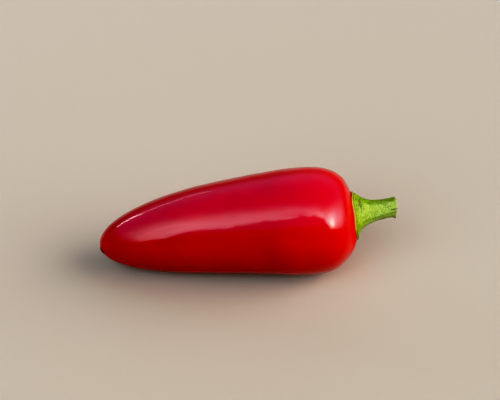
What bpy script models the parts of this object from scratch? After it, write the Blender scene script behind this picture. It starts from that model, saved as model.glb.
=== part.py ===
import math

import bmesh
import bpy
from mathutils import Matrix, Vector

# Ripe chilli pepper lying on its side: a blunt, tapered pod and its cut stem.
# Metres, Z up. The tip points to -X, the stem to +X, and the pod rests at z = 0.

# Pod: girth along its length
POD_LENGTH = 0.0798
TIP_RADIUS = 0.0119  # the taper's radius at the tip, before the tip rounds off
SHOULDER_RADIUS = 0.0191  # the taper's radius at the stem end, before it rounds off
TAPER_POWER = 1.4  # 1 is a straight taper
TIP_ROUNDING = 0.0465
TIP_FULLNESS = 3.0
SHOULDER_ROUNDING = 0.040
SHOULDER_FULLNESS = 5.9

# Pod: the line through its middle, seen from the side
TIP_HEIGHT = 0.0067
RISE = 0.0104  # the stem end is this much higher than the tip
BOW = 0.0023  # the middle bows up by this much
END_TILT = math.radians(5)  # the stem end also faces up by this much
END_TILT_START = 0.0060  # both from the stem end
END_TILT_STOP = 0.0018

# Pod: lobes round the girth, and the flower's scar on the tip
LOBES = 3
LOBE_DEPTH = 0.0003
SCAR_RADIUS = 0.0012
SCAR_HEIGHT = 0.0003
SCAR_EDGE = 4  # the higher, the steeper the scar's edge
POD_RINGS = 46
POD_SIDES = 48

# Calyx: it sits above and behind the middle of the pod's end, and its underside follows that end
SEAT_UP = 0.0014
SEAT_BACK = 0.0005
SEAT_GAP = 0.0003
SEAT_RINGS = 6
RIM_RADIUS = 0.0074
RIM_THICKNESS = 0.0006
RIM_BAND = 0.0007  # bare band between the rim's edge and the flare
TOOTH_DEPTH = 0.0003
TOOTH_POWER = 6  # the teeth fade quickly towards the middle of the underside

# Stem: it flares into the calyx, has five ridges, and ends in a plain cut
STEM_RADIUS = 0.0025
STEM_LENGTH = 0.0119  # seat to cut face
STEM_SHIFT = 0.0007  # the stem stands this far above the middle of the calyx
SHIFT_LENGTH = 0.0005
FLARE_LENGTH = 0.0026
RIDGES = 5
RIDGE_DEPTH = 0.00018
RIDGE_TURN = math.radians(16)
CUT_FLARE = 0.00025  # the cut end is wider by this much
CUT_LENGTH = 0.0012
CUT_SLANT = 0.12  # the cut's upper edge is further out
SPUR_HEIGHT = 0.0007  # a shred of skin that stands out at the cut's lower front edge
SPUR_TURN = math.radians(148)
SPUR_WIDTH = math.radians(16)
STEM_RINGS = 22
RING_CROWDING = 1.8  # the rings are closer together towards the calyx
STEM_SIDES = 50

MERGE = 0.000001


def remove_objects():
    for old in list(bpy.data.objects):
        bpy.data.objects.remove(old, do_unlink=True)


def new_collection(name):
    collection = bpy.data.collections.new(name)
    bpy.context.scene.collection.children.link(collection)
    return collection


def new_material(name, colour, roughness):
    material = bpy.data.materials.new(name)
    material.use_nodes = True
    shader = material.node_tree.nodes["Principled BSDF"]
    shader.inputs["Base Color"].default_value = (*colour, 1.0)
    shader.inputs["Roughness"].default_value = roughness
    shader.inputs["Metallic"].default_value = 0.0
    return material


# Turns a profile of (radius, height) points about Z
def turned_mesh(name, profile, sides):
    outline = bpy.data.meshes.new(name + "_profile")
    edges = [(i, i + 1) for i in range(len(profile) - 1)]
    outline.from_pydata([(radius, 0.0, height) for radius, height in profile], edges, [])
    turned = bpy.data.objects.new(name + "_profile", outline)
    bpy.context.scene.collection.objects.link(turned)
    screw = turned.modifiers.new("Screw", "SCREW")
    screw.steps = sides
    screw.render_steps = sides
    screw.use_merge_vertices = True
    screw.merge_threshold = MERGE
    depsgraph = bpy.context.evaluated_depsgraph_get()
    mesh = bpy.data.meshes.new_from_object(turned.evaluated_get(depsgraph))
    bpy.data.objects.remove(turned, do_unlink=True)
    mesh.name = name
    return mesh


# Closes the poles of a turned mesh and moves each vertex to rule(radius, angle, height)
def reshape(mesh, rule):
    form = bmesh.new()
    form.from_mesh(mesh)
    bmesh.ops.remove_doubles(form, verts=form.verts, dist=MERGE)
    for vertex in form.verts:
        x, y, z = vertex.co
        vertex.co = rule(math.hypot(x, y), math.atan2(y, x), z)
    bmesh.ops.recalc_face_normals(form, faces=form.faces)
    form.to_mesh(mesh)
    form.free()
    mesh.shade_smooth()


def add_part(name, mesh, material, collection, parent):
    part = bpy.data.objects.new(name, mesh)
    mesh.materials.clear()
    mesh.materials.append(material)
    collection.objects.link(part)
    part.parent = parent
    return part


# 0 at the very end of the pod, 1 once past the rounded length
def rounding(reach, length, fullness):
    inset = 1.0 - min(max(reach / length, 0.0), 1.0)
    return math.sqrt(1.0 - inset**fullness)


def pod_radius(station):
    share = station / POD_LENGTH
    girth = TIP_RADIUS + (SHOULDER_RADIUS - TIP_RADIUS) * share**TAPER_POWER
    tip = rounding(station, TIP_ROUNDING, TIP_FULLNESS)
    shoulder = rounding(POD_LENGTH - station, SHOULDER_ROUNDING, SHOULDER_FULLNESS)
    return girth * tip * shoulder


# Height of the pod's middle at a distance from the tip, and how far its section leans back there
def middle_line(station):
    share = station / POD_LENGTH
    height = TIP_HEIGHT + RISE * share + 4.0 * BOW * share * (1.0 - share)
    slope = (RISE + 4.0 * BOW * (1.0 - 2.0 * share)) / POD_LENGTH
    turned = (END_TILT_START - (POD_LENGTH - station)) / (END_TILT_START - END_TILT_STOP)
    turned = min(max(turned, 0.0), 1.0)
    return height, math.atan(slope) + END_TILT * turned**2 * (3.0 - 2.0 * turned)


# Bends the upright pod along its middle line, with angle 0 on top, and lays it flat where it rests
def pod_point(radius, angle, station):
    share = station / POD_LENGTH
    lobe = -LOBE_DEPTH * math.cos(LOBES * angle) * share * math.sin(math.pi * share)
    radius += lobe * min(1.0, radius / TIP_RADIUS)
    height, tilt = middle_line(station)
    if share < 0.5:
        station -= SCAR_HEIGHT * math.exp(-((radius / SCAR_RADIUS) ** SCAR_EDGE))
    upward = radius * math.cos(angle)
    x = station - math.sin(tilt) * upward
    z = height + math.cos(tilt) * upward
    return Vector((x, -radius * math.sin(angle), max(z, 0.0)))


def build_pod(collection, parent):
    turns = [math.pi * ring / POD_RINGS for ring in range(POD_RINGS + 1)]
    stations = [POD_LENGTH * (1.0 + math.cos(turn)) / 2.0 for turn in turns]
    profile = [(pod_radius(station), station) for station in stations]
    mesh = turned_mesh("pod", profile, POD_SIDES)
    reshape(mesh, pod_point)
    skin = new_material("ripe_pepper_skin", (0.47, 0.004, 0.004), 0.18)
    return add_part("pod", mesh, skin, collection, parent)


# The pod's end is close to a paraboloid: this is its radius squared over its setback
def end_curve():
    setback = 0.0012
    return pod_radius(POD_LENGTH - setback) ** 2 / setback


def underside(radius):
    return SEAT_GAP - radius**2 / end_curve()


# From the middle of the cut face down the outside, round the rim and back under the calyx
def stem_profile():
    rim_top = underside(RIM_RADIUS) + RIM_THICKNESS
    flare_width = RIM_RADIUS - RIM_BAND - STEM_RADIUS
    outside = []
    for ring in range(STEM_RINGS + 1):
        climb = (STEM_LENGTH - rim_top) * (1.0 - ring / STEM_RINGS) ** RING_CROWDING
        outside.append((STEM_RADIUS + flare_width * math.exp(-climb / FLARE_LENGTH), rim_top + climb))
    seat_radii = [RIM_RADIUS * ring / SEAT_RINGS for ring in range(SEAT_RINGS, -1, -1)]
    cut_face = [(0.0, STEM_LENGTH), (STEM_RADIUS / 2.0, STEM_LENGTH)]
    return cut_face + outside + [(RIM_RADIUS, rim_top)] + [(r, underside(r)) for r in seat_radii]


# Adds the ridges, the calyx's teeth, the wider cut end and the spur to the turned stem
def stem_point(radius, angle, height):
    ridge = math.cos(RIDGES * (angle - RIDGE_TURN))
    if math.isclose(height, underside(radius), abs_tol=MERGE):
        radius += TOOTH_DEPTH * ridge * (radius / RIM_RADIUS) ** TOOTH_POWER
        height = underside(radius)
    else:
        inner = min(1.0, radius / STEM_RADIUS)
        tooth = TOOTH_DEPTH * math.exp((underside(RIM_RADIUS) - height) / RIM_THICKNESS)
        near_cut = math.exp((height - STEM_LENGTH) / CUT_LENGTH)
        spur = SPUR_HEIGHT * math.exp(-(((angle - SPUR_TURN) / SPUR_WIDTH) ** 2))
        radius += inner * ((RIDGE_DEPTH + tooth) * ridge + near_cut * (CUT_FLARE + spur))
        height += near_cut * CUT_SLANT * radius * math.cos(angle)
    above_rim = max(0.0, height - underside(RIM_RADIUS) - RIM_THICKNESS)
    shift = STEM_SHIFT * (1.0 - math.exp(-above_rim / SHIFT_LENGTH))
    return Vector((radius * math.cos(angle) + shift, radius * math.sin(angle), height))


# Place and turn of the seat on the pod's end: X is up, Y towards the front, Z out along the stem
def seat_frame():
    height, tilt = middle_line(POD_LENGTH)
    along = Vector((math.cos(tilt), 0.0, math.sin(tilt)))
    up = Vector((-math.sin(tilt), 0.0, math.cos(tilt)))
    offset = SEAT_UP * up + Vector((0.0, SEAT_BACK, 0.0))
    seat = Vector((POD_LENGTH, 0.0, height)) + offset - along * offset.length_squared / end_curve()
    outward = (along + 2.0 * offset / end_curve()).normalized()
    up = (up - up.dot(outward) * outward).normalized()
    front = outward.cross(up)
    return seat, Matrix((up, front, outward)).transposed()


def build_calyx_stem(collection, parent):
    mesh = turned_mesh("calyx_stem", stem_profile(), STEM_SIDES)
    reshape(mesh, stem_point)
    green = new_material("green_stem_skin", (0.27, 0.42, 0.03), 0.5)
    stem = add_part("calyx_stem", mesh, green, collection, parent)
    stem.location, turn = seat_frame()
    stem.rotation_mode = "QUATERNION"
    stem.rotation_quaternion = turn.to_quaternion()
    return stem


# Puts the middle of the whole length and depth over the origin
def centre_over_origin(parts, holder):
    bpy.context.view_layer.update()
    places = [part.matrix_world @ vertex.co for part in parts for vertex in part.data.vertices]
    for axis in (0, 1):
        values = [place[axis] for place in places]
        holder.location[axis] = -(min(values) + max(values)) / 2.0


def main():
    remove_objects()
    collection = new_collection("chilli_pepper")
    holder = bpy.data.objects.new("chilli_pepper_holder", None)
    collection.objects.link(holder)
    parts = [build_pod(collection, holder), build_calyx_stem(collection, holder)]
    centre_over_origin(parts, holder)


main()
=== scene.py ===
import math

import bmesh
import bpy
from mathutils import Matrix, Vector, noise
from mathutils.bvhtree import BVHTree


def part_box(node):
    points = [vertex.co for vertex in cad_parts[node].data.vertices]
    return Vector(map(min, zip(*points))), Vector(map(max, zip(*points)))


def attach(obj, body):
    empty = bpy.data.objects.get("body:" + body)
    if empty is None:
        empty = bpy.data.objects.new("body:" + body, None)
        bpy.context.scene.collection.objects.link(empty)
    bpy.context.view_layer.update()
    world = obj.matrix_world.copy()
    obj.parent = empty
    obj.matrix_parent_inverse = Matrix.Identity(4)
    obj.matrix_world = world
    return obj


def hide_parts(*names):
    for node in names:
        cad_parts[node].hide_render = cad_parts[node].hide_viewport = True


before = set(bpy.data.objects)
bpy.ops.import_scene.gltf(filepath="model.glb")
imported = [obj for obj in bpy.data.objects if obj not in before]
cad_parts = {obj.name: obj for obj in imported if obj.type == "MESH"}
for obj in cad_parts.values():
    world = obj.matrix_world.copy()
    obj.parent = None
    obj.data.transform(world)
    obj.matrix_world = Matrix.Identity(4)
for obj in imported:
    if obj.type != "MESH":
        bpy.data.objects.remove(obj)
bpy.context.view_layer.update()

print("frame loaded:", sorted(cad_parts))


# Helpers

def linear(hexColour):
    parts = [int(hexColour[i:i + 2], 16) / 255.0 for i in (1, 3, 5)]
    return (*[p / 12.92 if p <= 0.04045 else ((p + 0.055) / 1.055) ** 2.4 for p in parts], 1.0)


# Adds a node, sets what it is, and links or fills its inputs in order, or by name or number with the
# dictionary. A Mix node's colours are its inputs 6 and 7 and its output 2
def addNode(tree, kind, *values, named=None, **settings):
    node = tree.nodes.new(kind)
    for name, setting in settings.items():
        setattr(node, name, setting)
    for key, value in {**dict(enumerate(values)), **(named or {})}.items():
        if isinstance(value, bpy.types.Node):
            tree.links.new(value.outputs[0], node.inputs[key])
        elif isinstance(value, bpy.types.NodeSocket):
            tree.links.new(value, node.inputs[key])
        elif value is not None:
            node.inputs[key].default_value = value
    return node


def newMaterial(name):
    material = bpy.data.materials.new(name)
    material.use_nodes = True
    material.node_tree.nodes.clear()
    return material, material.node_tree


# How many times a pattern of this real size fits into a metre of Object coordinates
def perMetre(millimetres):
    return 1000.0 / millimetres


noiseLow, noiseHigh = 0.3, 0.7  # most of a noise pattern lies between these


def placeMesh(name, mesh, material):
    piece = bpy.data.objects.new(name, mesh)
    if material.name not in [m.name for m in mesh.materials if m]:
        mesh.materials.clear()
        mesh.materials.append(material)
    mesh.shade_smooth()
    bpy.context.scene.collection.objects.link(piece)
    return piece


# Pod: a smooth, blunt fruit whose girth and middle line follow one rule from tip to shoulder

podSizes = {
    "Length": 0.0800,
    "Tip Radius": 0.0119,
    "Shoulder Radius": 0.0191,
    "Taper Power": 1.4,
    "Tip Rounding": 0.0465,
    "Tip Fullness": 3.0,
    "Shoulder Rounding": 0.040,
    "Shoulder Fullness": 5.9,
    "Tip Height": 0.0067,
    "Rise": 0.0104,
    "Bow": 0.0023,
    "End Tilt": math.radians(5),
    "End Tilt Start": 0.0048,
    "End Tilt Stop": 0.0006,
    "Lobes": 3,
    "Lobe Depth": 0.0003,
    "Scar Radius": 0.0010,
    "Scar Height": 0.00015,
    "Scar Below": 0.00014,  # the scar's middle is below the very tip and in front of it
    "Scar Front": 0.0021,
    "Scar Edge": 4.0,
    "Dent Depth": 0.00028,
    "Dent Size": 0.009,
    "Seed": 4,
    "Rings": 220,
    "Sides": 256,
}

# Each step: its name, the operation, and what it works on
podSteps = [
    ("turn", "MULTIPLY", "u", math.pi),
    ("ringCos", "COSINE", "turn"),
    ("share", "MULTIPLY_ADD", "ringCos", 0.5, 0.5),
    ("station", "MULTIPLY", "share", "Length"),
    ("fromEnd", "SUBTRACT", "Length", "station"),
    ("angle", "MULTIPLY", "v", 2.0 * math.pi),
    # girth: a taper, rounded off at both ends
    ("girthRise", "SUBTRACT", "Shoulder Radius", "Tip Radius"),
    ("taper", "POWER", "share", "Taper Power"),
    ("girth", "MULTIPLY_ADD", "girthRise", "taper", "Tip Radius"),
    ("tipReach", "DIVIDE", "station", "Tip Rounding"),
    ("tipShort", "MINIMUM", "tipReach", 1.0),
    ("tipInset", "SUBTRACT", 1.0, "tipShort"),
    ("tipFade", "POWER", "tipInset", "Tip Fullness"),
    ("tipSquare", "SUBTRACT", 1.0, "tipFade"),
    ("tipRound", "SQRT", "tipSquare"),
    ("endReach", "DIVIDE", "fromEnd", "Shoulder Rounding"),
    ("endShort", "MINIMUM", "endReach", 1.0),
    ("endInset", "SUBTRACT", 1.0, "endShort"),
    ("endFade", "POWER", "endInset", "Shoulder Fullness"),
    ("endSquare", "SUBTRACT", 1.0, "endFade"),
    ("endRound", "SQRT", "endSquare"),
    ("roundTip", "MULTIPLY", "girth", "tipRound"),
    ("plainRadius", "MULTIPLY", "roundTip", "endRound"),
    # lobes
    ("lobeAngle", "MULTIPLY", "Lobes", "angle"),
    ("lobeCos", "COSINE", "lobeAngle"),
    ("halfTurn", "MULTIPLY", "share", math.pi),
    ("lobeSwell", "SINE", "halfTurn"),
    ("lobeShare", "MULTIPLY", "lobeSwell", "share"),
    ("lobeSize", "MULTIPLY", "lobeShare", "Lobe Depth"),
    ("lobeFull", "MULTIPLY", "lobeSize", "lobeCos"),
    ("lobeReach", "DIVIDE", "plainRadius", "Tip Radius"),
    ("lobeNear", "MINIMUM", "lobeReach", 1.0),
    ("lobe", "MULTIPLY", "lobeFull", "lobeNear"),
    ("radius", "SUBTRACT", "plainRadius", "lobe"),
    # middle line: rise, bow, and the tilt of the stem end
    ("rest", "SUBTRACT", 1.0, "share"),
    ("bowFour", "MULTIPLY", "Bow", 4.0),
    ("bowShare", "MULTIPLY", "bowFour", "share"),
    ("bowUp", "MULTIPLY", "bowShare", "rest"),
    ("riseUp", "MULTIPLY_ADD", "Rise", "share", "Tip Height"),
    ("height", "ADD", "riseUp", "bowUp"),
    ("bowFade", "MULTIPLY_ADD", "share", -2.0, 1.0),
    ("climb", "MULTIPLY_ADD", "bowFour", "bowFade", "Rise"),
    ("slope", "DIVIDE", "climb", "Length"),
    ("lean", "ARCTANGENT", "slope"),
    ("tiltLength", "SUBTRACT", "End Tilt Start", "End Tilt Stop"),
    ("tiltReach", "SUBTRACT", "End Tilt Start", "fromEnd"),
    ("tiltShare", "DIVIDE", "tiltReach", "tiltLength"),
    ("tiltAbove", "MAXIMUM", "tiltShare", 0.0),
    ("turned", "MINIMUM", "tiltAbove", 1.0),
    ("turnedSquare", "MULTIPLY", "turned", "turned"),
    ("turnedFade", "MULTIPLY_ADD", "turned", -2.0, 3.0),
    ("turnedSmooth", "MULTIPLY", "turnedSquare", "turnedFade"),
    ("tilt", "MULTIPLY_ADD", "End Tilt", "turnedSmooth", "lean"),
    # across the pod: upwards, and towards the front
    ("angleCos", "COSINE", "angle"),
    ("angleSin", "SINE", "angle"),
    ("upward", "MULTIPLY", "radius", "angleCos"),
    ("sideways", "MULTIPLY", "radius", "angleSin"),
    # scar left by the flower on the tip
    ("scarUp", "ADD", "upward", "Scar Below"),
    ("scarSide", "SUBTRACT", "sideways", "Scar Front"),
    ("scarUpSquare", "MULTIPLY", "scarUp", "scarUp"),
    ("scarSquare", "MULTIPLY_ADD", "scarSide", "scarSide", "scarUpSquare"),
    ("scarAway", "SQRT", "scarSquare"),
    ("scarReach", "DIVIDE", "scarAway", "Scar Radius"),
    ("scarPower", "POWER", "scarReach", "Scar Edge"),
    ("scarMinus", "MULTIPLY", "scarPower", -1.0),
    ("scarMask", "EXPONENT", "scarMinus"),
    ("tipHalf", "LESS_THAN", "share", 0.5),
    ("scar", "MULTIPLY", "scarMask", "tipHalf"),
    ("scarLift", "MULTIPLY", "scar", "Scar Height"),
    ("stationOut", "SUBTRACT", "station", "scarLift"),
    # place
    ("tiltCos", "COSINE", "tilt"),
    ("tiltSin", "SINE", "tilt"),
    ("back", "MULTIPLY", "tiltSin", "upward"),
    ("x", "SUBTRACT", "stationOut", "back"),
    ("y", "MULTIPLY", "sideways", -1.0),
    ("z", "MULTIPLY_ADD", "tiltCos", "upward", "height"),
]


def buildPodTree(material):
    tree = bpy.data.node_groups.new("pepper pod", "GeometryNodeTree")
    for name, size in podSizes.items():
        kind = "NodeSocketInt" if isinstance(size, int) else "NodeSocketFloat"
        tree.interface.new_socket(name, in_out="INPUT", socket_type=kind)
    tree.interface.new_socket("Mesh", in_out="OUTPUT", socket_type="NodeSocketGeometry")
    sizes = addNode(tree, "NodeGroupInput")
    made = {name: sizes.outputs[name] for name in podSizes}

    # a flat sheet of unit size, whose two directions become the way along the pod and round it
    sheet = addNode(tree, "GeometryNodeMeshGrid", 1.0, 1.0, made["Rings"], made["Sides"])
    place = addNode(tree, "GeometryNodeInputPosition")
    flat = addNode(tree, "ShaderNodeSeparateXYZ", place)
    made["u"] = addNode(tree, "ShaderNodeMath", flat.outputs["X"], 0.5, operation="ADD")
    made["v"] = addNode(tree, "ShaderNodeMath", flat.outputs["Y"], 0.5, operation="ADD")
    for name, operation, *sources in podSteps:
        values = [made[s] if isinstance(s, str) else s for s in sources]
        made[name] = addNode(tree, "ShaderNodeMath", *values, operation=operation)
    point = addNode(tree, "ShaderNodeCombineXYZ", made["x"], made["y"], made["z"])

    along = addNode(tree, "GeometryNodeStoreNamedAttribute", sheet.outputs["Mesh"], None, "along",
                    made["share"], data_type="FLOAT", domain="POINT")
    marked = addNode(tree, "GeometryNodeStoreNamedAttribute", along, None, "scar",
                     made["scar"], data_type="FLOAT", domain="POINT")
    bent = addNode(tree, "GeometryNodeSetPosition", marked, None, point)
    samePlace = 0.000001  # points this close are merged, along the seam and at both ends
    closed = addNode(tree, "GeometryNodeMergeByDistance", bent, None, samePlace)

    # shallow dents, which make the reflections waver as they do on a grown skin
    dentScale = addNode(tree, "ShaderNodeMath", 1.0, made["Dent Size"], operation="DIVIDE")
    dents = addNode(tree, "ShaderNodeTexNoise", noise_dimensions="4D", named={
        "Vector": addNode(tree, "GeometryNodeInputPosition"), "W": made["Seed"],
        "Scale": dentScale, "Detail": 1.0})
    dentDepth = addNode(tree, "ShaderNodeMath", dents.outputs[0], -0.5, operation="ADD")
    dentOut = addNode(tree, "ShaderNodeMath", dentDepth, made["Dent Depth"], operation="MULTIPLY")
    offset = addNode(tree, "ShaderNodeVectorMath", operation="SCALE", named={
        "Vector": addNode(tree, "GeometryNodeInputNormal"), "Scale": dentOut})
    dented = addNode(tree, "GeometryNodeSetPosition", closed, named={"Offset": offset})

    # the skin lies flat where the pod rests
    dentedPlace = addNode(tree, "ShaderNodeSeparateXYZ", addNode(tree, "GeometryNodeInputPosition"))
    above = addNode(tree, "ShaderNodeMath", dentedPlace.outputs["Z"], 0.0, operation="MAXIMUM")
    resting = addNode(tree, "ShaderNodeCombineXYZ", dentedPlace.outputs["X"],
                      dentedPlace.outputs["Y"], above)
    rested = addNode(tree, "GeometryNodeSetPosition", dented, None, resting)

    real = addNode(tree, "GeometryNodeRealizeInstances", rested)
    painted = addNode(tree, "GeometryNodeSetMaterial", real, None, material)
    addNode(tree, "NodeGroupOutput", painted)
    return tree


# Runs a Geometry Nodes tree with the given sizes and returns the plain mesh it makes
def meshFromTree(tree, sizes, name):
    holder = bpy.data.objects.new(name, bpy.data.meshes.new(name))
    bpy.context.scene.collection.objects.link(holder)
    modifier = holder.modifiers.new("Shape", "NODES")
    modifier.node_group = tree
    sockets = {s.name: s.identifier for s in tree.interface.items_tree if s.in_out == "INPUT"}
    for sizeName, size in sizes.items():
        modifier[sockets[sizeName]] = size
    evaluated = holder.evaluated_get(bpy.context.evaluated_depsgraph_get())
    mesh = bpy.data.meshes.new_from_object(evaluated)
    bpy.data.objects.remove(holder, do_unlink=True)
    mesh.name = name
    return mesh


# Ripe pepper skin, grown: a thin wax layer over deep red flesh gives clear, soft-edged reflections
skinLook = {
    "tipRed": "#a0060a",
    "shoulderRed": "#9f060b",
    "deepShare": 0.9,  # how bright the darker mottles are beside the lighter ones
    "litBandAt": 0.8,  # a painted band of light makes the red brightest round this share of the length
    "litBandReach": 0.15,
    "litBandShare": 1.13,
    "scarBrown": "#1d0a06",
    "scarFrom": 0.02,  # the brown starts and is full at these shares of the scar's height
    "scarTo": 0.25,
    "roughness": 0.09,
    "ior": 1.45,
    "specular": 0.5,
    "bareFrom": 0.952,  # the wax thins out close to the calyx, between these shares of the length
    "bareTo": 0.98,
    "bareRoughness": 0.36,
    "bareSpecular": 0.04,
    "mottleSize": 9.0,
    "cellSize": 0.45,  # real skin cells are about 0.05 mm, too fine to show, so they are drawn coarser
    "cellDepth": 0.00001,
    "cellStrength": 0.15,
}


def makeSkin():
    look = skinLook
    material, tree = newMaterial("ripe pepper skin, waxy")
    place = addNode(tree, "ShaderNodeTexCoord").outputs["Object"]
    along = addNode(tree, "ShaderNodeAttribute", attribute_name="along").outputs["Fac"]
    scarMark = addNode(tree, "ShaderNodeAttribute", attribute_name="scar").outputs["Fac"]
    scar = addNode(tree, "ShaderNodeMapRange", scarMark, look["scarFrom"], look["scarTo"], 0.0, 1.0)

    # one red turns into the other along the pod, brighter round the shoulder where light is painted on, and
    # faintly mottled
    red = addNode(tree, "ShaderNodeMix", data_type="RGBA", named={
        0: along, 6: linear(look["tipRed"]), 7: linear(look["shoulderRed"])})
    mottle = addNode(tree, "ShaderNodeTexNoise", named={
        "Vector": place, "Scale": perMetre(look["mottleSize"]), "Detail": 3.0, "Roughness": 0.55})
    depth = addNode(tree, "ShaderNodeMapRange", mottle, noiseLow, noiseHigh, look["deepShare"], 1.0)
    # painted light: a wide band round the shoulder is made brighter
    fromLitBand = addNode(tree, "ShaderNodeMath", along, look["litBandAt"], operation="SUBTRACT")
    apart = addNode(tree, "ShaderNodeMath", fromLitBand, operation="ABSOLUTE")
    ripe = addNode(tree, "ShaderNodeMapRange", apart, 0.0, look["litBandReach"], look["litBandShare"], 1.0,
                   interpolation_type="SMOOTHSTEP")
    bright = addNode(tree, "ShaderNodeMath", depth, ripe, operation="MULTIPLY")
    mottled = addNode(tree, "ShaderNodeVectorMath", red.outputs[2], operation="SCALE",
                      named={"Scale": bright})
    colour = addNode(tree, "ShaderNodeMix", data_type="RGBA", named={
        0: scar, 6: mottled, 7: linear(look["scarBrown"])})

    cells = addNode(tree, "ShaderNodeTexNoise", named={
        "Vector": place, "Scale": perMetre(look["cellSize"]), "Detail": 2.0})
    bump = addNode(tree, "ShaderNodeBump", named={
        "Strength": look["cellStrength"], "Distance": look["cellDepth"], "Height": cells})

    # the wax is thinner by the calyx, and the scar has none
    roughness = addNode(tree, "ShaderNodeMapRange", along, look["bareFrom"], look["bareTo"],
                        look["roughness"], look["bareRoughness"])
    waxy = addNode(tree, "ShaderNodeMapRange", along, look["bareFrom"], look["bareTo"],
                   look["specular"], look["bareSpecular"])
    specular = addNode(tree, "ShaderNodeMapRange", scar, 0.0, 1.0, waxy, 0.0)
    shader = addNode(tree, "ShaderNodeBsdfPrincipled", named={
        "Base Color": colour.outputs[2], "Roughness": roughness, "IOR": look["ior"],
        "Specular IOR Level": specular, "Normal": bump})
    addNode(tree, "ShaderNodeOutputMaterial", shader)
    return material


skin = makeSkin()
podMesh = meshFromTree(buildPodTree(skin), podSizes, "ripePod")
podLow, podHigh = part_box("pod")
podStart = podHigh.x - max(v.co.x for v in podMesh.vertices)  # its stem end lies where the solid's does
podMesh.transform(Matrix.Translation((podStart, (podLow.y + podHigh.y) / 2.0, 0.0)))
pod = placeMesh("ripePod", podMesh, skin)
print("pod made:", len(podMesh.vertices), "points")


# Calyx and stem: one green piece. The calyx sits on the pod's end, and the stem flares out of it,
# has five flat sides with finer ribs, bends up a little and ends in a rough cut. In its own axes X is
# up, Y towards the front and Z out along the stem, and a way round starts at X and turns towards Y

stemSizes = {
    "seatUp": 0.0014,
    "seatBack": 0.0005,
    "seatSetback": 0.0012,  # the curve of the pod's end is measured this far in
    "seatHollow": 0.00025,  # the middle of the underside stands off the skin by this much
    "rimRadius": 0.0074,
    "rimWaver": 0.012,  # the rim's outline wavers by this share of its radius
    "teeth": 0.0003,
    "rimThickness": 0.00115,  # on the side that faces the front
    "rimThinnest": 0.00055,
    "thickTurn": math.radians(50),
    "thickWidth": 1.1,
    "rimWander": 0.00012,
    "rimPress": 0.00004,  # the rim's edge presses this far into the skin
    "rimLift": 0.00028,  # and stands off it by this much on top
    "liftTurn": math.radians(-20),
    "liftWidth": math.radians(34),
    "rimMargin": 0.00016,  # the flare stays this far inside the rim's edge
    "rimRoundAbove": 0.00015,
    "rimRoundBelow": 0.00035,
    "rimRoundPower": 0.6,
    "grooveDepth": 0.00022,
    "grooveTurn": math.radians(22),
    "grooveWidth": math.radians(24),
    "grooveClimb": 0.0015,  # the groove is this far above the rim
    "grooveLength": 0.0005,
    "stemRadius": 0.00272,
    "stemLength": 0.0119,
    "stemShift": 0.0006,
    "shiftLength": 0.0005,
    "stemBend": 0.00065,
    "upperTurn": math.radians(-36),  # the way round that is uppermost in the picture
    "flareAbove": 0.0046,  # how much wider the flare starts, on the upper side and on the lower
    "flareBelow": 0.0039,
    "flareLength": 0.0030,
    "flareRibs": 0.25,  # the share of the ribs that is left on the flare
    "ribs": 5,
    "ribSharpness": 0.45,  # 1 makes plain flat sides, 0 a round stem
    "ribMean": 0.62,  # a side has the mean radius at this share of the way from its middle to a rib
    "ribTurn": math.radians(16),
    "fineRibs": 0.00005,
    "fineRibSets": [(9.0, 5.0, 120.0), (17.0, 7.0, 160.0)],  # size, seed and change along a metre
    "cutFlare": 0.00016,
    "cutLength": 0.0012,
    "cutSlant": 0.12,
    "cutHollow": 0.0004,
    "cutBulge": 0.0004,  # the cut's front edge is further out by this much
    "bulgeTurn": math.radians(58),
    "bulgeWidth": 0.9,
    "cutRaggedness": 0.00006,
    "raggedLength": 0.0003,
    "raggedAcross": 0.6,  # the share of the raggedness that the cut's face has
    "spurHeight": 0.0007,
    "spurTurn": math.radians(150),
    "spurWidth": math.radians(15),
    "splits": [(math.radians(72), 0.0019), (math.radians(91), 0.0023)],  # way round and length
    "splitWidth": math.radians(4.5),
    "splitDepth": 0.0003,
    "splitSteepness": 3.0,  # a split is at full depth once past 1 / this of its length
    "rings": 130,
    "ringCrowding": 1.6,  # the rings are closer together towards the calyx
    "sides": 360,
    "rimRings": 12,
    "seatRings": 14,
    "cutRings": 14,
    # where the colour changes, and where light and shade are painted on
    "yellowLength": 0.0042,
    "paintedSideLight": -0.75,  # painted light and shade on the stem's sides: -1 is the darkest green and 1 the palest
    "paintedFrontLight": 1.6,  # painted light: the side that faces the front is paler by this much, and a lower side by the second such amount below
    "paleTurn": math.radians(49),
    "paleHalf": math.radians(32),
    "paintedLowLight": 1.9,
    "lowTurn": math.radians(118),
    "lowWidth": 0.6,
    "brownShade": 0.7,
    "brownTurn": math.radians(152),
    "brownWidth": 0.22,
    "brownLength": 0.006,
    "rimBrownTurn": math.radians(172),
    "rimBrownWidth": 0.55,
    "edgeHighlightShare": 0.3,  # how strong the painted highlight on the rim's edge is halfway down its thickness
    "edgeSteepness": 1.3,
    "splitShadeWidth": 1.1,  # a split's painted shade is this many times as wide as the split
    "lipLength": 0.0002,
}

# what the material paints by is kept with the points under these names
markNames = ("yellowing", "groove", "paintedSideLight", "rim", "edge", "brown", "lip", "cut")


# The pod's radius towards its stem end, by the same rule as its tree
def podRadius(station):
    p = podSizes
    share = station / p["Length"]
    girth = p["Tip Radius"] + (p["Shoulder Radius"] - p["Tip Radius"]) * share ** p["Taper Power"]
    inset = 1.0 - min((p["Length"] - station) / p["Shoulder Rounding"], 1.0)
    return girth * math.sqrt(1.0 - inset ** p["Shoulder Fullness"])


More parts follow.
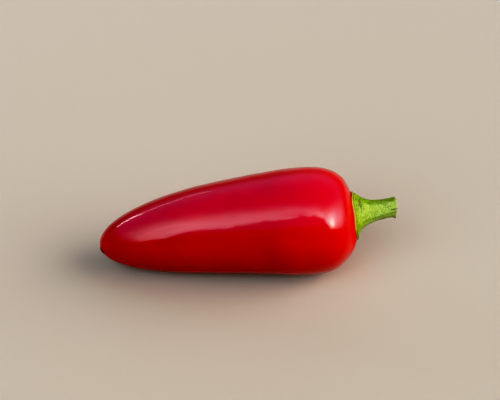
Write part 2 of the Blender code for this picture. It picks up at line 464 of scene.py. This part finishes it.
# Where the calyx sits on the pod's end
def seatFrame():
    p, s = podSizes, stemSizes
    endCurve = podRadius(p["Length"] - s["seatSetback"]) ** 2 / s["seatSetback"]
    tilt = math.atan((p["Rise"] - 4.0 * p["Bow"]) / p["Length"]) + p["End Tilt"]
    along = Vector((math.cos(tilt), 0.0, math.sin(tilt)))
    up = Vector((-math.sin(tilt), 0.0, math.cos(tilt)))
    offset = s["seatUp"] * up + Vector((0.0, s["seatBack"], 0.0))
    middle = Vector((podStart + p["Length"], 0.0, p["Tip Height"] + p["Rise"])) + offset
    middle -= along * offset.length_squared / endCurve
    outward = (along + 2.0 * offset / endCurve).normalized()
    up = (up - up.dot(outward) * outward).normalized()
    front = outward.cross(up)
    return Matrix.Translation(middle) @ Matrix((up, front, outward)).transposed().to_4x4()


# A point at a distance from the stem's axis, a way round it and a height along it
def pointAt(radius, angle, height):
    return Vector((radius * math.cos(angle), radius * math.sin(angle), height))


# 1 at the given way round, fading to 0 within about the given width
def near(angle, middle, width):
    apart = (angle - middle + math.pi) % math.tau - math.pi
    return math.exp(-((apart / width) ** 2))


# 1 over a band of the way round, falling quickly to 0 at its ends
def plateau(angle, middle, half):
    apart = (angle - middle + math.pi) % math.tau - math.pi
    return 1.0 / (1.0 + (apart / half) ** 6)


# Slow wander round the stem, the same where the round closes
def wander(angle, size, seed, height=0.0):
    return noise.noise(pointAt(size, angle, height + seed))


# Gives a function that finds how high the pod's skin lies along the stem's axis, under the calyx
def skinFinder(seat):
    above = 0.004  # the rays start here, clear of the skin
    outward = (seat.to_3x3() @ Vector((0.0, 0.0, 1.0))).normalized()
    toSeat = seat.inverted()
    faces = [tuple(face.vertices) for face in podMesh.polygons]
    tree = BVHTree.FromPolygons([v.co for v in podMesh.vertices], faces)

    def skinAt(radius, angle):
        hit = tree.ray_cast(seat @ pointAt(radius, angle, above), -outward)[0]
        return (toSeat @ hit).z

    return skinAt


# The rim at one way round: its radius, its lower and upper height, and how far it stands off the skin
def rimAt(angle, skinAt):
    s = stemSizes
    radius = s["rimRadius"] * (1.0 + s["rimWaver"] * wander(angle, size=2.2, seed=3.0))
    radius += s["teeth"] * math.cos(s["ribs"] * (angle - s["ribTurn"]))
    raised = s["rimLift"] * near(angle, s["liftTurn"], s["liftWidth"]) - s["rimPress"]
    low = skinAt(radius, angle) + raised
    thicker = (s["rimThickness"] - s["rimThinnest"]) * near(angle, s["thickTurn"], s["thickWidth"])
    thickness = s["rimThinnest"] + thicker + s["rimWander"] * wander(angle, size=3.0, seed=9.0)
    return radius, low, low + thickness, max(0.0, raised)


# Flat sides between ribs: distance from the axis as a share of the mean radius
def ribShape(angle):
    s = stemSizes
    half = math.pi / s["ribs"]
    fromRib = (angle - s["ribTurn"] + half) % (2.0 * half) - half
    flat = math.cos(half * s["ribMean"]) / math.cos(half - abs(fromRib))
    return 1.0 + s["ribSharpness"] * (flat - 1.0)


# How deep the splits in the cut's edge are, from 0 to 1
def splitAt(angle, fromCut, width):
    s = stemSizes
    deep = 0.0
    for turn, length in s["splits"]:
        reach = s["splitSteepness"] * max(0.0, 1.0 - fromCut / length)
        deep += near(angle, turn, width) * min(1.0, reach)
    return deep


# The stem's radius at a height, which is the given climb above the rim
def outerRadius(angle, climb, height):
    s = stemSizes
    sides = ribShape(angle)
    top = 0.5 + 0.5 * math.cos(angle - s["upperTurn"])
    flare = s["flareBelow"] + (s["flareAbove"] - s["flareBelow"]) * top
    flare *= math.exp(-climb / s["flareLength"]) * (1.0 + s["flareRibs"] * (sides - 1.0))
    radius = s["stemRadius"] * sides + flare
    for size, seed, change in s["fineRibSets"]:
        radius += s["fineRibs"] * wander(angle, size, seed, change * height)
    fromCut = s["stemLength"] - height
    spur = s["spurHeight"] * near(angle, s["spurTurn"], s["spurWidth"])
    radius += math.exp(-fromCut / s["cutLength"]) * (s["cutFlare"] + spur)
    return radius - s["splitDepth"] * splitAt(angle, fromCut, s["splitWidth"])


# How far up the stem's middle has moved at a height: a shift just above the rim, then a slow bend
def middleAt(height):
    s = stemSizes
    climbed = max(0.0, height)
    shift = s["stemShift"] * (1.0 - math.exp(-climbed / s["shiftLength"]))
    return shift + s["stemBend"] * (climbed / s["stemLength"]) ** 2


# A point of the outside, at a share of the way from the rim to the cut, and its marks
def outsidePoint(angle, share, rim, high):
    s = stemSizes
    climb = (s["stemLength"] - high) * share ** s["ringCrowding"]
    height = high + climb
    radius = outerRadius(angle, climb, height)
    groove = near(angle, s["grooveTurn"], s["grooveWidth"])
    groove *= math.exp(-((climb - s["grooveClimb"]) / s["grooveLength"]) ** 2)
    height -= s["grooveDepth"] * groove
    nearCut = math.exp((height - s["stemLength"]) / s["cutLength"])
    bulge = s["cutBulge"] * near(angle, s["bulgeTurn"], s["bulgeWidth"])
    height += nearCut * (s["cutSlant"] * radius * math.cos(angle) + bulge)
    atCut = math.exp((height - s["stemLength"]) / s["raggedLength"])
    height += s["cutRaggedness"] * atCut * wander(angle, size=3.5, seed=13.0)
    x = radius * math.cos(angle) + middleAt(height)
    y = radius * math.sin(angle)
    inside = min(1.0, (rim - s["rimMargin"]) / math.hypot(x, y))

    fromCut = s["stemLength"] - height
    split = splitAt(angle, fromCut, s["splitWidth"] * s["splitShadeWidth"])
    # painted light: paler on the side facing the front and on a lower side
    pale = s["paintedFrontLight"] * plateau(angle, s["paleTurn"], s["paleHalf"])
    pale += s["paintedLowLight"] * near(angle, s["lowTurn"], s["lowWidth"])
    brown = s["brownShade"] * near(angle, s["brownTurn"], s["brownWidth"])
    return Vector((x * inside, y * inside, height)), {
        "yellowing": math.exp(-climb / s["yellowLength"]),
        # painted shade in the groove and in the splits
        "groove": min(1.0, groove + split),
        "paintedSideLight": s["paintedSideLight"] + pale,
        "brown": brown * math.exp(-climb / s["brownLength"]),
        "lip": math.exp(-max(0.0, fromCut) / s["lipLength"]),
        "stalk": pointAt(s["stemRadius"], angle, height)}


# Loops of points over the cut's face, from its middle to its edge
def cutLoops(angles, edge, middle):
    s = stemSizes
    loops = []
    for i in range(s["cutRings"] - 1, 0, -1):
        share = 1.0 - i / s["cutRings"]
        loop = []
        for angle, point in zip(angles, edge):
            rough = s["cutRaggedness"] * s["raggedAcross"] * share
            rough *= wander(angle, size=5.0 * share + 1.0, seed=21.0, height=0.35 * i)
            sink = Vector((0.0, 0.0, s["cutHollow"] * (1.0 - share ** 2) + rough))
            stalk = pointAt(share * s["stemRadius"], angle, s["stemLength"])
            loop.append((middle.lerp(point, share) - sink, {"cut": 1.0, "stalk": stalk}))
        loops.append(loop)
    return loops


# Loops round the rim's edge, from its upper side to its lower
def rimLoops(angles, rims):
    s = stemSizes
    loops = []
    for i in range(s["rimRings"] + 1):
        turn = math.pi * i / s["rimRings"]
        rounding = s["rimRoundAbove"] if turn < math.pi / 2.0 else s["rimRoundBelow"]
        # a painted highlight on the rim's pale margin, strongest on the side against the skin
        edge = min(1.0, max(0.0, s["edgeHighlightShare"] - s["edgeSteepness"] * math.cos(turn)))
        loop = []
        for angle, (rim, low, high, raised) in zip(angles, rims):
            half = (high - low) / 2.0
            inward = min(rounding, half) * (1.0 - math.sin(turn) ** s["rimRoundPower"])
            point = pointAt(rim - inward, angle, low + half + half * math.cos(turn))
            loop.append((point, {
                "rim": 1.0, "edge": edge, "yellowing": 1.0,
                "brown": near(angle, s["rimBrownTurn"], s["rimBrownWidth"]),
                "stalk": pointAt(rim, angle, low + half * math.cos(turn))}))
        loops.append(loop)
    return loops


# Loops back under the calyx, along the skin, from the rim to the middle
def seatLoops(angles, rims, skinAt):
    s = stemSizes
    loops = []
    for i in range(s["seatRings"] - 1, 0, -1):
        share = i / s["seatRings"]
        gap = s["seatHollow"] * (1.0 - share)
        loop = []
        for angle, (rim, low, high, raised) in zip(angles, rims):
            height = skinAt(rim * share, angle) + gap + raised * share
            loop.append((pointAt(rim * share, angle, height), {"rim": 1.0}))
        loops.append(loop)
    return loops


# Joins all the loops from the middle of the cut to the middle of the underside, and keeps the marks
def stemMesh():
    s = stemSizes
    seat = seatFrame()
    skinAt = skinFinder(seat)
    angles = [math.tau * i / s["sides"] for i in range(s["sides"])]
    rims = [rimAt(angle, skinAt) for angle in angles]
    outside = []
    for i in range(s["rings"] + 1):
        share = 1.0 - i / s["rings"]
        outside.append([outsidePoint(angle, share, rim, high)
                        for angle, (rim, low, high, raised) in zip(angles, rims)])
    edge = [point for point, marks in outside[0]]
    middle = sum(edge, Vector()) / len(edge)
    loops = cutLoops(angles, edge, middle) + outside
    loops += rimLoops(angles, rims) + seatLoops(angles, rims, skinAt)

    form = bmesh.new()
    verts = [[form.verts.new(point) for point, marks in loop] for loop in loops]
    top = form.verts.new(middle - Vector((0.0, 0.0, s["cutHollow"])))
    bottom = form.verts.new((0.0, 0.0, skinAt(0.0, 0.0) + s["seatHollow"]))
    for i in range(s["sides"]):
        j = (i + 1) % s["sides"]
        form.faces.new((top, verts[0][i], verts[0][j]))
        form.faces.new((bottom, verts[-1][j], verts[-1][i]))
        for upper, lower in zip(verts, verts[1:]):
            form.faces.new((upper[i], lower[i], lower[j], upper[j]))
    bmesh.ops.recalc_face_normals(form, faces=form.faces)
    mesh = bpy.data.meshes.new("greenStem")
    form.to_mesh(mesh)
    form.free()

    allMarks = [marks for loop in loops for point, marks in loop] + [{"cut": 1.0}, {"rim": 1.0}]
    for name in markNames:
        layer = mesh.attributes.new(name, "FLOAT", "POINT")
        layer.data.foreach_set("value", [marks.get(name, 0.0) for marks in allMarks])
    stalks = [marks.get("stalk", Vector()) for marks in allMarks]
    layer = mesh.attributes.new("stalk", "FLOAT_VECTOR", "POINT")
    layer.data.foreach_set("vector", [part for stalk in stalks for part in stalk])
    mesh.transform(seat)
    return mesh


# Fresh stalk, grown: a satin, finely ribbed skin, yellower where it flares, with many pale pores.
# It gives the eye a dull sheen on each flat side and a grain along the stem, and its sides carry painted
# light and shade
stemLook = {
    # the palest sides' green, with a painted sheen in it; the next green is its painted shade
    "green": "#8a9f58",
    "paintedShadeGreen": "#55700a",
    "flareGreen": "#667806",
    "rimGreen": "#748420",
    # painted shade in the groove above the rim and in the cut's splits
    "grooveShadeGreen": "#2c3806",
    "grooveShadeStrength": 0.62,
    # the rim's pale margin, brightened into a painted highlight
    "edgeHighlightCream": "#cfcc86",
    "brown": "#5a3d12",
    "cutPith": "#989f66",
    "cutRing": "#5f7230",
    "pithShare": 0.5,  # the pith turns into the ring between these shares of the stem's radius
    "ringShare": 0.85,
    "lipStrength": 0.5,
    "roughness": 0.5,
    "specular": 0.16,
    "mottleSize": 2.2,
    "mottleShare": 0.13,
    "fibreSize": 0.35,
    "fibreShare": 0.3,
    "fibreStretch": 0.16,  # the width of the fibres as a share of their length
    "grainSize": 0.33,  # the real grain is under 0.1 mm, too fine to show, so it is drawn coarser
    "grainDark": 0.74,
    "grainPale": 1.34,
    "poreCream": "#a2ae3c",
    "poreStrength": 0.45,
    "poreSpacing": 0.75,
    "poreShare": 0.28,
    "poreHeight": 0.5,
    "bumpStrength": 0.6,
    "bumpDepth": 0.00008,
}


def makeStemSkin():
    look = stemLook
    material, tree = newMaterial("fresh pepper stalk, ribbed and satin")
    place = addNode(tree, "ShaderNodeTexCoord").outputs["Object"]
    stalk = addNode(tree, "ShaderNodeAttribute", attribute_name="stalk").outputs["Vector"]
    marks = {name: addNode(tree, "ShaderNodeAttribute", attribute_name=name).outputs["Fac"]
             for name in markNames}

    # paints colours over one another, each where its mark is and as strongly as it says
    def paintOver(colour, layers):
        for mark, strength, over in layers:
            share = addNode(tree, "ShaderNodeMath", mark, strength, operation="MULTIPLY")
            colour = addNode(tree, "ShaderNodeMix", data_type="RGBA",
                             named={0: share, 6: colour, 7: over}).outputs[2]
        return colour

    lengthwise = addNode(tree, "ShaderNodeMapping", stalk, named={"Scale": (1.0, 1.0, look["fibreStretch"])})
    mottle = addNode(tree, "ShaderNodeTexNoise", named={
        "Vector": stalk, "Scale": perMetre(look["mottleSize"]), "Detail": 4.0, "Roughness": 0.6})
    fibres = addNode(tree, "ShaderNodeTexNoise", named={
        "Vector": lengthwise, "Scale": perMetre(look["fibreSize"]), "Detail": 3.0, "Roughness": 0.6})
    pores = addNode(tree, "ShaderNodeTexVoronoi", named={
        "Vector": place, "Scale": perMetre(look["poreSpacing"]), "Randomness": 1.0})
    dots = addNode(tree, "ShaderNodeMapRange", pores.outputs["Distance"], look["poreShare"],
                   look["poreShare"] / 2.0, 0.0, 1.0)
    grains = addNode(tree, "ShaderNodeTexVoronoi", named={
        "Vector": stalk, "Scale": perMetre(look["grainSize"]), "Randomness": 1.0})
    grainTone = addNode(tree, "ShaderNodeSeparateColor", grains.outputs["Color"])
    tone = addNode(tree, "ShaderNodeMapRange", grainTone, 0.0, 1.0, look["grainDark"], look["grainPale"])

    # painted light and shade: each side of the stem is lighter or darker as light falls on it, and the
    # mottle and fibres break that up
    side = addNode(tree, "ShaderNodeMapRange", marks["paintedSideLight"], -1.0, 1.0, 0.0, 1.0)
    uneven = addNode(tree, "ShaderNodeMapRange", mottle, noiseLow, noiseHigh,
                     -look["mottleShare"], look["mottleShare"])
    lines = addNode(tree, "ShaderNodeMapRange", fibres, noiseLow, noiseHigh,
                    -look["fibreShare"], look["fibreShare"])
    sideUneven = addNode(tree, "ShaderNodeMath", side, uneven, operation="ADD")
    paleness = addNode(tree, "ShaderNodeMath", sideUneven, lines, operation="ADD", use_clamp=True)
    colour = paintOver(linear(look["paintedShadeGreen"]), [
        (paleness, 1.0, linear(look["green"])),
        (marks["yellowing"], 1.0, linear(look["flareGreen"])),
        (marks["rim"], 1.0, linear(look["rimGreen"]))])
    grained = addNode(tree, "ShaderNodeVectorMath", colour, operation="SCALE", named={"Scale": tone})

    # the cut: pale pith inside a greener ring
    flat = addNode(tree, "ShaderNodeVectorMath", stalk, (1.0, 1.0, 0.0), operation="MULTIPLY")
    fromMiddle = addNode(tree, "ShaderNodeVectorMath", flat, operation="LENGTH").outputs["Value"]
    ring = addNode(tree, "ShaderNodeMapRange", fromMiddle, stemSizes["stemRadius"] * look["pithShare"],
                   stemSizes["stemRadius"] * look["ringShare"], 0.0, 1.0)
    face = paintOver(linear(look["cutPith"]), [(ring, 1.0, linear(look["cutRing"]))])

    colour = paintOver(grained, [
        (dots, look["poreStrength"], linear(look["poreCream"])),
        # painted shade in the groove and the splits
        (marks["groove"], look["grooveShadeStrength"], linear(look["grooveShadeGreen"])),
        # painted highlight along the rim's edge
        (marks["edge"], 1.0, linear(look["edgeHighlightCream"])),
        (marks["brown"], 1.0, linear(look["brown"])),
        (marks["lip"], look["lipStrength"], linear(look["cutPith"])),
        (marks["cut"], 1.0, face)])

    heights = addNode(tree, "ShaderNodeMath", dots, look["poreHeight"], fibres, operation="MULTIPLY_ADD")
    bump = addNode(tree, "ShaderNodeBump", named={
        "Strength": look["bumpStrength"], "Distance": look["bumpDepth"], "Height": heights})
    shader = addNode(tree, "ShaderNodeBsdfPrincipled", named={
        "Base Color": colour, "Roughness": look["roughness"], "Specular IOR Level": look["specular"],
        "Normal": bump})
    addNode(tree, "ShaderNodeOutputMaterial", shader)
    return material


stalkSkin = makeStemSkin()
stem = placeMesh("greenStem", stemMesh(), stalkSkin)
print("calyx and stem made:", len(stem.data.vertices), "points")

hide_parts("pod")
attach(pod, "root")
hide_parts("calyx_stem")
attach(stem, "root")


# Floor and light

floorLook = {
    "radius": 3.0,
    "sides": 96,
    "below": 0.00002,  # just clear of the resting skin
    "colour": "#9c9790",
    "roughness": 0.7,
    "specular": 0.15,
}


def makeFloor():
    material, tree = newMaterial("plain pale floor")
    shader = addNode(tree, "ShaderNodeBsdfPrincipled", named={
        "Base Color": linear(floorLook["colour"]), "Roughness": floorLook["roughness"],
        "Specular IOR Level": floorLook["specular"]})
    addNode(tree, "ShaderNodeOutputMaterial", shader)
    form = bmesh.new()
    bmesh.ops.create_circle(form, cap_ends=True, radius=floorLook["radius"], segments=floorLook["sides"])
    bmesh.ops.translate(form, verts=form.verts, vec=(0.0, 0.0, -floorLook["below"]))
    mesh = bpy.data.meshes.new("paleFloor")
    form.to_mesh(mesh)
    form.free()
    floor = placeMesh("paleFloor", mesh, material)


# Light tent, as the skin mirrors it: dim low down and pale blue overhead, with wide soft glows in front
# on the left and right and a small bright lamp in the right one. The glows end at an edge that rises
# where the camera stands. Angles are degrees to the right of the camera's side and up, and a reach goes
# from 0 at the middle to 1 straight behind or straight to the right
tentLook = {
    "low": "#8e8e90",
    "high": "#a8c0fa",
    "highStrength": 1.5,
    "skyFrom": 4.0,
    "skyTo": 35.0,
    "skyRaisedBehind": 5.0,  # the blue starts higher behind the pepper
    "raisedReach": (0.3, 0.9),
    "skyShareRight": 0.78,  # the blue is weaker on the right
    "shareReach": (-0.7, 0.7),
    "edge": [(-180, 0), (-100, 6), (-75, 4), (-60, 2), (-48, 5), (-41, 11), (-36, 22), (-33, 29), (-26, 33),
             (-22, 40), (-17, 47), (-4, 49), (12, 46), (24, 38), (31, 26), (37, 13), (45, 8), (60, 4),
             (72, -3), (95, -6), (120, -8), (180, -5)],
    "edgeSoftness": 7.0,
    "edgeSofterLeft": 1.9,  # the edge is this many times as soft on the left
    "softerReach": (-0.7, -0.2),
    "edgeWobble": 5.0,
    "clothScale": 6.0,  # the tent's cloth is a little uneven, so the glows are too
    "clothUnevenness": 0.45,
    "glows": [
        {"around": -36.0, "above": 42.0, "width": 20.0, "strength": 2.75, "colour": "#f6f4ff"},
        {"around": -60.0, "above": 38.0, "width": 18.0, "strength": 1.1, "colour": "#fff4e6"},
        {"around": -46.0, "above": 20.0, "width": 11.0, "strength": 1.5, "colour": "#fff8fa"},
        {"around": 2.0, "above": 58.0, "width": 14.0, "strength": 1.6, "colour": "#e6d8ff"},
        {"around": 24.0, "above": 50.0, "width": 12.0, "strength": 3.4, "colour": "#fff6f2"},
        {"around": 48.0, "above": 32.0, "width": 16.0, "strength": 7.0, "colour": "#fffcf8"},
        {"around": 70.0, "above": 22.0, "width": 20.0, "strength": 3.4, "colour": "#f4ecff"},
        {"around": 46.0, "above": 22.0, "width": 8.5, "strength": 8.2, "colour": "#fff8dc"},
    ],
    "backdrop": "#d9d3cb",  # what the camera itself sees past the floor
}

# The same tent as the light that it gives: neutral, and strongest from the right
tentLight = {
    "allRound": "#242424",
    "glows": [
        {"around": 88.0, "above": 18.0, "width": 28.0, "strength": 9.9, "colour": "#fff6ee"},
        {"around": -35.0, "above": 40.0, "width": 26.0, "strength": 3.75, "colour": "#ffffff"},
        {"around": 175.0, "above": 12.0, "width": 35.0, "strength": 1.0, "colour": "#ffffff"},
    ],
}


def towards(around, above):
    a, e = math.radians(around), math.radians(above)
    return Vector((math.sin(a) * math.cos(e), -math.cos(a) * math.cos(e), math.sin(e)))


def makeTent():
    t = tentLook
    world = bpy.data.worlds.new("light tent")
    world.use_nodes = True
    tree = world.node_tree
    tree.nodes.clear()
    direction = addNode(tree, "ShaderNodeTexCoord").outputs["Generated"]
    parts = addNode(tree, "ShaderNodeSeparateXYZ", direction)
    right, back = parts.outputs["X"], parts.outputs["Y"]
    forward = addNode(tree, "ShaderNodeMath", back, -1.0, operation="MULTIPLY")
    above = addNode(tree, "ShaderNodeMath", parts.outputs["Z"], operation="ARCSINE")
    around = addNode(tree, "ShaderNodeMath", right, forward, operation="ARCTAN2")

    raised = addNode(tree, "ShaderNodeMapRange", back, *t["raisedReach"], 0.0,
                     math.radians(t["skyRaisedBehind"]))
    aboveSky = addNode(tree, "ShaderNodeMath", above, raised, operation="SUBTRACT")
    height = addNode(tree, "ShaderNodeMapRange", aboveSky, math.radians(t["skyFrom"]),
                     math.radians(t["skyTo"]), 0.0, 1.0, interpolation_type="SMOOTHSTEP")
    fromLeft = addNode(tree, "ShaderNodeMapRange", right, *t["shareReach"], 1.0, t["skyShareRight"])
    skyShare = addNode(tree, "ShaderNodeMath", height, fromLeft, operation="MULTIPLY")
    high = [part * t["highStrength"] for part in linear(t["high"])[:3]] + [1.0]
    sky = addNode(tree, "ShaderNodeMix", data_type="RGBA", named={0: skyShare, 6: linear(t["low"]), 7: high})

    # the glows' lower edge, as a curve of height against the way round
    turned = addNode(tree, "ShaderNodeMapRange", around, -math.pi, math.pi, 0.0, 1.0)
    curve = addNode(tree, "ShaderNodeFloatCurve", 1.0, turned)
    points = curve.mapping.curves[0].points
    places = [(a / 360.0 + 0.5, e / 180.0 + 0.5) for a, e in t["edge"]]
    points[0].location, points[-1].location = places[0], places[-1]
    for place in places[1:-1]:
        points.new(*place)
    curve.mapping.update()
    edge = addNode(tree, "ShaderNodeMapRange", curve, 0.0, 1.0, -math.pi / 2.0, math.pi / 2.0)

    # the cloth makes that edge wavy, and the glows patchy
    cloth = addNode(tree, "ShaderNodeTexNoise", named={
        "Vector": direction, "Scale": t["clothScale"], "Detail": 2.0, "Roughness": 0.6})
    wobble = addNode(tree, "ShaderNodeMapRange", cloth, noiseLow, noiseHigh,
                     -math.radians(t["edgeWobble"]), math.radians(t["edgeWobble"]))
    wavy = addNode(tree, "ShaderNodeMath", edge, wobble, operation="ADD")
    overEdge = addNode(tree, "ShaderNodeMath", above, wavy, operation="SUBTRACT")
    softer = addNode(tree, "ShaderNodeMapRange", right, *t["softerReach"], t["edgeSofterLeft"], 1.0)
    fromEdge = addNode(tree, "ShaderNodeMath", overEdge, softer, operation="DIVIDE")
    soft = math.radians(t["edgeSoftness"]) / 2.0
    pastEdge = addNode(tree, "ShaderNodeMapRange", fromEdge, -soft, soft, 0.0, 1.0,
                       interpolation_type="SMOOTHSTEP")
    patches = addNode(tree, "ShaderNodeMapRange", cloth, noiseLow, noiseHigh,
                      1.0 + t["clothUnevenness"] / 2.0, 1.0 - t["clothUnevenness"] / 2.0)
    glowShare = addNode(tree, "ShaderNodeMath", pastEdge, patches, operation="MULTIPLY")

    def addGlows(total, glows, share):
        for glow in glows:
            facing = addNode(tree, "ShaderNodeVectorMath", direction,
                             towards(glow["around"], glow["above"]), operation="DOT_PRODUCT")
            ahead = addNode(tree, "ShaderNodeMath", facing.outputs["Value"], 0.0, operation="MAXIMUM")
            lobe = addNode(tree, "ShaderNodeMath", ahead, 2.0 / math.radians(glow["width"]) ** 2,
                           operation="POWER")
            cut = addNode(tree, "ShaderNodeMath", lobe, share, operation="MULTIPLY")
            strength = addNode(tree, "ShaderNodeMath", cut, glow["strength"], operation="MULTIPLY")
            light = addNode(tree, "ShaderNodeVectorMath", operation="SCALE", named={
                "Vector": linear(glow["colour"])[:3], "Scale": strength})
            total = addNode(tree, "ShaderNodeVectorMath", total, light, operation="ADD").outputs[0]
        return total

    # mirror images see the one tent, the light comes from the other, and the camera sees the backdrop
    rays = addNode(tree, "ShaderNodeLightPath")
    mirrored = addGlows(sky.outputs[2], t["glows"], glowShare)
    lit = addGlows(linear(tentLight["allRound"])[:3], tentLight["glows"], 1.0)
    given = addNode(tree, "ShaderNodeMix", data_type="RGBA", named={
        0: rays.outputs["Is Glossy Ray"], 6: lit, 7: mirrored})
    seen = addNode(tree, "ShaderNodeMix", data_type="RGBA", named={
        0: rays.outputs["Is Camera Ray"], 6: given.outputs[2], 7: linear(t["backdrop"])})
    background = addNode(tree, "ShaderNodeBackground", seen.outputs[2])
    addNode(tree, "ShaderNodeOutputWorld", background)
    bpy.context.scene.world = world


# Thin lights behind on the left: a bright one draws the fine line along the tip's upper side, and a dim
# one carries it on. Their ends are angles as in the tent, seen from the middle of the pepper
stripLook = {
    "middle": (0.0, 0.0, 0.014),
    "away": 0.9,
    "strips": [
        {"from": (-121.0, 18.2), "to": (-134.5, 28.6), "thickness": 0.0065, "power": 0.36},
        {"from": (-137.0, 30.0), "to": (-159.0, 28.5), "thickness": 0.005, "power": 0.05},
    ],
}


def makeBackStrip(strip):
    middle = Vector(stripLook["middle"])
    start = middle + towards(*strip["from"]) * stripLook["away"]
    end = middle + towards(*strip["to"]) * stripLook["away"]
    light = bpy.data.lights.new("backStrip", "AREA")
    light.shape = "RECTANGLE"
    light.size = (end - start).length
    light.size_y = strip["thickness"]
    light.energy = strip["power"]
    centre = (start + end) / 2.0
    lengthwise = (end - start).normalized()
    outward = (centre - middle).normalized()
    turn = Matrix((lengthwise, outward.cross(lengthwise), outward)).transposed()
    holder = bpy.data.objects.new("backStrip", light)
    holder.matrix_world = Matrix.Translation(centre) @ turn.to_4x4()
    holder.visible_camera = False
    bpy.context.scene.collection.objects.link(holder)


# Camera: looks down along +Y at the photo's angle, and is then moved up in its own view, so that the
# pepper lies below the middle of the picture
cameraView = {
    "target": (0.0011, 0.0, 0.014),
    "above": 36.0,
    "away": 0.366,
    "lens": 85.0,
    "moveUp": 0.00855,
}


def makeCamera():
    c = cameraView
    e = math.radians(c["above"])
    back = Vector((0.0, -math.cos(e), math.sin(e)))
    up = Vector((0.0, math.sin(e), math.cos(e)))
    data = bpy.data.cameras.new("productCamera")
    data.lens = c["lens"]
    camera = bpy.data.objects.new("productCamera", data)
    camera.location = Vector(c["target"]) + back * c["away"] + up * c["moveUp"]
    camera.rotation_euler = back.to_track_quat("Z", "Y").to_euler()
    bpy.context.scene.collection.objects.link(camera)
    bpy.context.scene.camera = camera


# How the camera answers to light: deep shadows, steep middle tones and a soft shoulder
cameraCurve = [(0.0, 0.0), (0.03, 0.0), (0.07, 0.025), (0.11, 0.06), (0.2, 0.16), (0.3, 0.36), (0.4, 0.58),
               (0.5, 0.73), (0.65, 0.87), (0.8, 0.95), (1.0, 1.0)]


def setCameraLook():
    settings = bpy.context.scene.view_settings
    settings.view_transform = "Standard"
    settings.use_curve_mapping = True
    points = settings.curve_mapping.curves[3].points
    for place in cameraCurve[1:-1]:
        points.new(*place)
    settings.curve_mapping.update()


makeFloor()
makeTent()
for strip in stripLook["strips"]:
    makeBackStrip(strip)
makeCamera()
setCameraLook()
print("floor, light and camera set")
